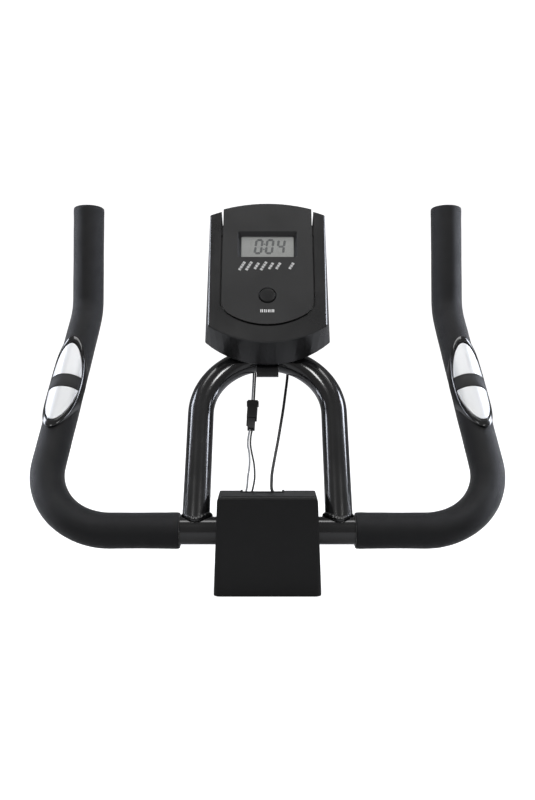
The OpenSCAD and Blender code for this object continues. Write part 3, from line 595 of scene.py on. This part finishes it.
def add_sensor_plates(side):
    """Two bright plates in the bezel, and the matt band that parts them."""
    name = side_name(side)
    low, long, wide, top = 7.95, 47.8, 15.9, 18.35
    arc_steps, cut_steps = 96, 40
    start = math.acos(low / long)
    for end, word in ((1, "upper"), (-1, "lower")):
        arc = [(wide * math.sin(t), end * long * math.cos(t))
               for t in [-start + 2 * start * i / arc_steps for i in range(arc_steps + 1)]]
        flat = arc[-1][0]
        cut = [(flat - 2 * flat * i / cut_steps, end * low) for i in range(1, cut_steps)]
        bm = bmesh.new()
        plaque(bm, arc + cut, [(0.0, top - 1.15), (0.0, top - 0.3), (0.12, top - 0.08), (0.4, top)])
        bm.transform(sensor_matrix(side))
        plate = piece_from(f"steel_plate_{word}_{name}", bm, "plate", "handlebar",
                           50)
        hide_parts(f"sensor_plate_{word}_{name}")
    half, rows, band_top = 7.6, 30, SENSOR_R - 0.35
    bm = bmesh.new()
    grid = []
    for z, drop in ((-half, 1.6), (-half, 0.25), (-half + 0.3, 0), (half - 0.3, 0),
                    (half, 0.25), (half, 1.6)):
        reach = 16.4 * math.sqrt(1 - (z / 50) ** 2)  # to the oval edge of the bezel's floor
        grid.append([bm.verts.new(over_arm(reach * (2 * i / rows - 1), z, band_top - drop))
                     for i in range(rows + 1)])
    for a, b in zip(grid, grid[1:]):
        for i in range(rows):
            bm.faces.new((a[i], a[i + 1], b[i + 1], b[i]))
    for i in range(rows):
        bm.faces.new((grid[-1][i], grid[-1][i + 1], grid[0][i + 1], grid[0][i]))
    bm.faces.new([g[0] for g in grid])
    bm.faces.new([g[-1] for g in grid])
    bm.transform(sensor_matrix(side))
    piece_from("sensor_band_" + name, bm, "band", "handlebar", 40)


# ---- Console ----

def add_console_details():
    """Digits on the display, and slanted marks in place of the printed words."""
    glass_top, ink = -4.35, 0.03
    face, print_low, print_high = 0.8, -0.02, 0.05
    lean = math.tan(math.radians(7))

    def flat_shape(bm, points, z0, z1):
        low = [bm.verts.new(CONSOLE @ Vector((x, y, z0))) for x, y in points]
        high = [bm.verts.new(CONSOLE @ Vector((x, y, z1))) for x, y in points]
        bm.faces.new(high)
        bm.faces.new(low[::-1])
        for i in range(len(points)):
            j = (i + 1) % len(points)
            bm.faces.new((low[i], low[j], high[j], high[i]))

    tall, wide, thick, foot = 15.8, 6.2, 2.5, 26.4
    half = tall / 2

    def segment(x, key):
        """One segment of the digit whose lower left corner is at x, with pointed ends."""
        ax, ay, bx, by = segments[key]
        a, b = Vector((x + ax, foot + ay)), Vector((x + bx, foot + by))
        along = (b - a).normalized() * thick / 2
        across = Vector((-along.y, along.x))
        ends = [a + along * 0.25, a + along + across, b - along + across, b - along * 0.25,
                b - along - across, a + along - across]
        return [(p.x + (p.y - foot) * lean, p.y) for p in ends]

    segments = {
        "a": (0, tall, wide, tall), "b": (wide, tall, wide, half), "c": (wide, half, wide, 0),
        "d": (0, 0, wide, 0), "e": (0, half, 0, 0), "f": (0, tall, 0, half),
        "g": (0, half, wide, half),
    }
    lit = {"0": "abcdef", "4": "bcfg"}
    on, off = bmesh.new(), bmesh.new()
    for x, digit in ((-13.1, "0"), (-1.9, "0"), (9.7, "4")):
        for key in segments:
            if digit != "4" or key != "a":  # the 4 has no segment at its top
                target = on if key in lit[digit] else off
                flat_shape(target, segment(x, key), glass_top, glass_top + ink)
    for y in (4.6, 10.8):  # the colon
        dot = [(-4.4 + px + y * lean, foot + y + py)
               for px, py in ((-0.8, -0.9), (0.8, -0.9), (0.8, 0.9), (-0.8, 0.9))]
        flat_shape(on, dot, glass_top, glass_top + ink)
    for key in "bc":  # an unlit 1 in front
        flat_shape(off, segment(-24.4, key), glass_top, glass_top + ink)
    piece_from("lcd_digits", on, "digit", "handlebar", 30)
    piece_from("lcd_unlit_segments", off, "ghost", "handlebar", 30)

    marks = bmesh.new()
    for x, letters in zip((-25.4, -18.4, -10.6, -3.6, 3.9, 11.2, 24.5), (4, 4, 3, 4, 3, 3, 3)):
        a, b = Vector((x - 3.0, 3.4)), Vector((x + 3.0, 13.8))
        along = (b - a).normalized()
        across = Vector((-along.y, along.x)) * 1.4
        for i in range(2 * letters):  # pairs of thin strokes stand for the letters of a word
            s = a + along * ((4 - letters) * 1.48 + i // 2 * 2.95 + i % 2 * 1.25)
            e = s + along * 0.68
            flat_shape(marks, [s - across, e - across, e + across, s + across],
                       face + print_low, face + print_high)
    for i in range(8):  # the word under the button
        x = -7 + i // 2 * 3.7 + i % 2 * 1.6
        flat_shape(marks, [(x, -45.2), (x + 0.9, -45.2), (x + 0.9, -41.9), (x, -41.9)],
                   face + print_low, face + print_high)
    piece_from("console_print", marks, "print", "handlebar", 30)


def add_button():
    """A domed rubber cap with a rounded edge and a flange behind the panel."""
    r, flange = 8.2, 10.4
    profile = [(flange, -3.8), (flange, -2.6), (r, -2.6), (r, 0.9), (r - 0.1, 1.1), (r - 0.3, 1.3),
               (r - 1.0, 1.75), (r - 1.2, 1.82), (r - 3.0, 1.95), (r - 5.0, 2.05), (0.6, 2.1)]
    bm = bmesh.new()
    loft(bm, [[CONSOLE @ Vector((x * math.cos(a), BUTTON_Y + x * math.sin(a), z))
               for a in around(64)] for x, z in profile])
    button = piece_from("button_cap", bm, "button", "mode_button", 35)
    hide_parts("mode_button")


# ---- Leads ----

def add_lead(name, points, diameter, look, slot, node, body=None, **facts):
    """One free wire as a mesh tube along its route."""
    path = smooth_path(points, 6)
    bm = bmesh.new()
    sweep(bm, path, diameter / 2, 16)
    lead = piece_from(name, bm, look, body, 60)
    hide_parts(node)
    return lead


def add_leads():
    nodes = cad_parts
    grey, black = ("grey_pvc", "lead_wire"), ("pvc", "black_pvc")  # look and slot
    for side, kind, word, end in ((-1, grey, "grey", "connector_socket"),
                                  (1, black, "black", "connector_plug")):
        route = [(x + side, y, z) for x, y, z in UPPER_ROUTE]
        add_lead(f"upper_wire_{word}", route, WIRE_D, *kind, "sensor_lead_upper", "handlebar",
                 far_end="connector", stiffness="limp", lay="hanging", with_pieces=[nodes[end]])
    for route, kind, word in ((LOWER_LEFT_ROUTE, grey, "grey"), (LOWER_RIGHT_ROUTE, black, "black")):
        wire = add_lead(f"lower_wire_{word}", route, WIRE_D, *kind, "sensor_lead_lower",
                        far_end="object", stiffness="limp", lay="hanging")
        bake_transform(wire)
    add_lead("pulse_cable", PULSE_ROUTE, PULSE_LEAD_D, *black, "pulse_lead", "handlebar",
             far_end="object", stiffness="limp", lay="hanging", with_pieces=[nodes["pulse_plug"]])


# ---- CAD nodes that keep their shape ----

CAD_FINISHES = [
    # node, look, edge rounding in millimetres
    ("post_socket", "paint", 0.4), ("clamp_saddle", "paint", 0.6), ("clamp_cap", "paint", 0.6),
    ("clamp_bolts", "zinc", 0.3), ("post_screws", "zinc", 0.3), ("post_nuts", "zinc", 0.2),
    ("front_cover", "cover", 1.6), ("rear_cover", "cover", 1.6), ("cover_screws", "zinc", 0.15),
    ("cable_bushing", "rubber", 0.3), ("post_connector", "white", 0.3),
    ("handlebar_tube", "paint", 0.0), ("end_cap_left", "nylon", 0.0), ("end_cap_right", "nylon", 0.0),
    ("pulse_wire_left", "pvc", 0.0), ("pulse_wire_right", "pvc", 0.0), ("bar_grommet", "rubber", 0.3),
    ("console_bracket", "paint", 0.5), ("bracket_welds", "weld", 0.0), ("bracket_screws", "zinc", 0.25),
    ("console_front", "console_shell", 0.8), ("console_panel", "console", 0.5),
    ("console_back", "console_shell", 0.5), ("console_screws", "zinc", 0.15),
    ("lcd_lens", "window", 0.0), ("lcd_glass", "lcd", 0.0), ("lcd_contact_strips", "pale", 0.0),
    ("circuit_board", "board", 0.2), ("board_screws", "zinc", 0.0), ("button_dome", "pale", 0.2),
    ("buzzer", "nylon", 0.3), ("battery_door", "console", 0.35), ("batteries", "jacket", 0.4),
    ("battery_springs", "nickel", 0.0), ("battery_contacts", "nickel", 0.05),
    ("lead_grommet", "rubber", 0.3), ("connector_socket", "nylon", 0.25),
    ("connector_plug", "nylon", 0.25), ("pulse_jack", "nylon", 0.3), ("pulse_plug", "pvc", 0.3),
]


add_camera()
add_lights()
add_floor()
add_leads()
for node_name, node_look, rounding in CAD_FINISHES:
    finish_cad(node_name, node_look, rounding)
for which in (-1, 1):
    add_grip(which)
    add_sensor_housing(which)
    add_sensor_plates(which)
add_hoop()
add_hoop_welds()
add_console_details()
add_button()
